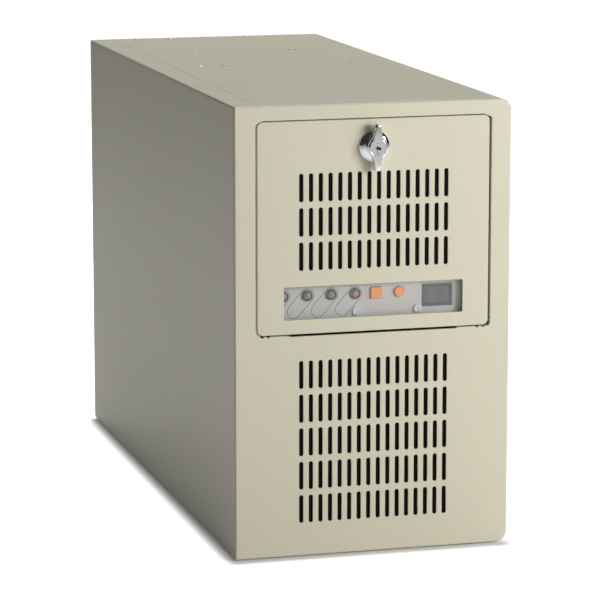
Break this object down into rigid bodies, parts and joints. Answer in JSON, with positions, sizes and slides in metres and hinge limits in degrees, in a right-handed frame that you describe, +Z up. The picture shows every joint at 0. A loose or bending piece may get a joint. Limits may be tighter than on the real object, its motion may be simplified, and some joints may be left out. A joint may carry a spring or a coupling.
{
  "type": "desktop computer tower",
  "caption": "Beige sheet-steel computer tower with a locking drop-down front door, a window over its control panel, a slide-off side cover and the computer inside.",
  "frame": {"origin": "centre of the footprint, on the surface that the feet stand on", "axes": "+Z up, the front door faces -Y, +X is to the right of someone looking at the front"},
  "size_m": [0.2, 0.497, 0.3205],
  "materials": {
    "case_paint": "fine textured powder coat, warm beige grey",
    "zinc_steel": "zinc-plated sheet steel, satin",
    "lock_chrome": "polished chrome plating",
    "black_plastic": "moulded black plastic, fine texture",
    "rocker_plastic": "moulded dark grey plastic, satin gloss",
    "window_acrylic": "clear acrylic sheet",
    "filter_foam": "open black foam",
    "foot_rubber": "black rubber",
    "plate_paint": "light grey paint, satin",
    "grey_lens": "translucent grey lens",
    "red_lens": "translucent red lens",
    "orange_plastic": "translucent orange plastic",
    "circuit_board": "green solder mask",
    "card_board": "blue solder mask",
    "connector_plastic": "moulded ivory plastic",
    "component_mix": "electronic components",
    "brass": "turned brass",
    "heatsink_aluminium": "extruded, bead blasted",
    "drive_aluminium": "cast and stamped aluminium",
    "supply_board": "phenolic board and parts",
    "lead_sleeve": "woven black sleeve over wires",
    "red_lead": "red cable jacket",
    "grey_lead": "grey cable jacket"
  },
  "bodies": {
    "case": {"wrap_shell": "case_paint", "front_panel": "case_paint", "rear_panel": "case_paint", "top_rivets": "zinc_steel", "rubber_feet": "foot_rubber", "hinge_pins": "zinc_steel", "control_plate": "plate_paint", "control_screws": "zinc_steel", "status_lenses": "grey_lens", "alarm_lens": "red_lens", "power_switch_body": "black_plastic", "control_board": "circuit_board", "alarm_buzzer": "black_plastic", "drive_cage": "zinc_steel", "wide_bay_blanks": "case_paint", "narrow_bay_blank": "case_paint", "hard_drive": "drive_aluminium", "filter_frame": "black_plastic", "fan_filter": "filter_foam", "front_fan_frame": "black_plastic", "fan_screws": "zinc_steel", "slot_frame": "zinc_steel", "slot_covers": "zinc_steel", "frame_screws": "zinc_steel", "motherboard": "circuit_board", "board_standoffs": "brass", "board_screws": "zinc_steel", "board_connectors": "connector_plastic", "board_components": "component_mix", "io_shield": "zinc_steel", "io_ports": "zinc_steel", "cpu_socket": "connector_plastic", "cpu_heatsink": "heatsink_aluminium", "cpu_fan_frame": "black_plastic", "memory_modules": "circuit_board", "expansion_card": "card_board", "power_supply_case": "zinc_steel", "power_supply_board": "supply_board", "supply_fan_frame": "black_plastic", "supply_fan_guard": "zinc_steel", "power_inlet": "black_plastic", "supply_hanger": "zinc_steel", "power_loom": "lead_sleeve", "data_cable": "red_lead", "panel_lead": "grey_lead"},
    "door": {"front_door": "case_paint", "door_window": "window_acrylic", "door_filter": "filter_foam", "lock_barrel": "lock_chrome"},
    "lock": {"lock_knob": "lock_chrome", "lock_cam": "zinc_steel"},
    "alarm_push": {"alarm_button": "orange_plastic"},
    "reset_push": {"reset_button": "orange_plastic"},
    "rocker": {"power_rocker": "rocker_plastic"},
    "mains_rocker": {"supply_switch": "rocker_plastic"},
    "side_cover": {"left_side_cover": "case_paint"},
    "thumbscrew": {"cover_thumbscrew": "zinc_steel"},
    "front_rotor": {"front_fan_rotor": "black_plastic"},
    "cpu_rotor": {"cpu_fan_rotor": "black_plastic"},
    "supply_rotor": {"supply_fan_rotor": "black_plastic"}
  },
  "joints": [
    {"name": "door_hinge", "type": "hinge", "parent": "case", "child": "door", "pos_m": [0, -0.2355, 0.1632], "axis": [1, 0, 0], "range_deg": [0, 100]},
    {"name": "lock_turn", "type": "hinge", "parent": "door", "child": "lock", "pos_m": [0, -0.2385, 0.29], "axis": [0, -1, 0], "range_deg": [0, 90]},
    {"name": "alarm_button_press", "type": "slide", "parent": "case", "child": "alarm_push", "axis": [0, 1, 0], "range_m": [0, 0.0016], "stiffness_N_per_m": 300},
    {"name": "reset_button_press", "type": "slide", "parent": "case", "child": "reset_push", "axis": [0, 1, 0], "range_m": [0, 0.0016], "stiffness_N_per_m": 300},
    {"name": "power_rocker_swing", "type": "hinge", "parent": "case", "child": "rocker", "pos_m": [0.0485, -0.2298, 0.1824], "axis": [0, 0, 1], "range_deg": [0, 14]},
    {"name": "mains_rocker_swing", "type": "hinge", "parent": "case", "child": "mains_rocker", "pos_m": [-0.0194, 0.2388, 0.2892], "axis": [1, 0, 0], "range_deg": [-14, 0]},
    {"name": "cover_slide", "type": "slide", "parent": "case", "child": "side_cover", "axis": [0, 1, 0], "range_m": [0, 0.49]},
    {"name": "thumbscrew_turn", "type": "hinge", "parent": "side_cover", "child": "thumbscrew", "pos_m": [-0.0934, 0.2415, 0.232], "axis": [0, 1, 0], "continuous": true},
    {"name": "front_fan_spin", "type": "hinge", "parent": "case", "child": "front_rotor", "pos_m": [0, -0.2185, 0.0832], "axis": [0, 1, 0], "continuous": true},
    {"name": "cpu_fan_spin", "type": "hinge", "parent": "case", "child": "cpu_rotor", "pos_m": [0.03, 0.1368, 0.2358], "axis": [1, 0, 0], "continuous": true},
    {"name": "supply_fan_spin", "type": "hinge", "parent": "case", "child": "supply_rotor", "pos_m": [-0.0414, 0.2265, 0.2192], "axis": [0, 1, 0], "continuous": true}
  ]
}
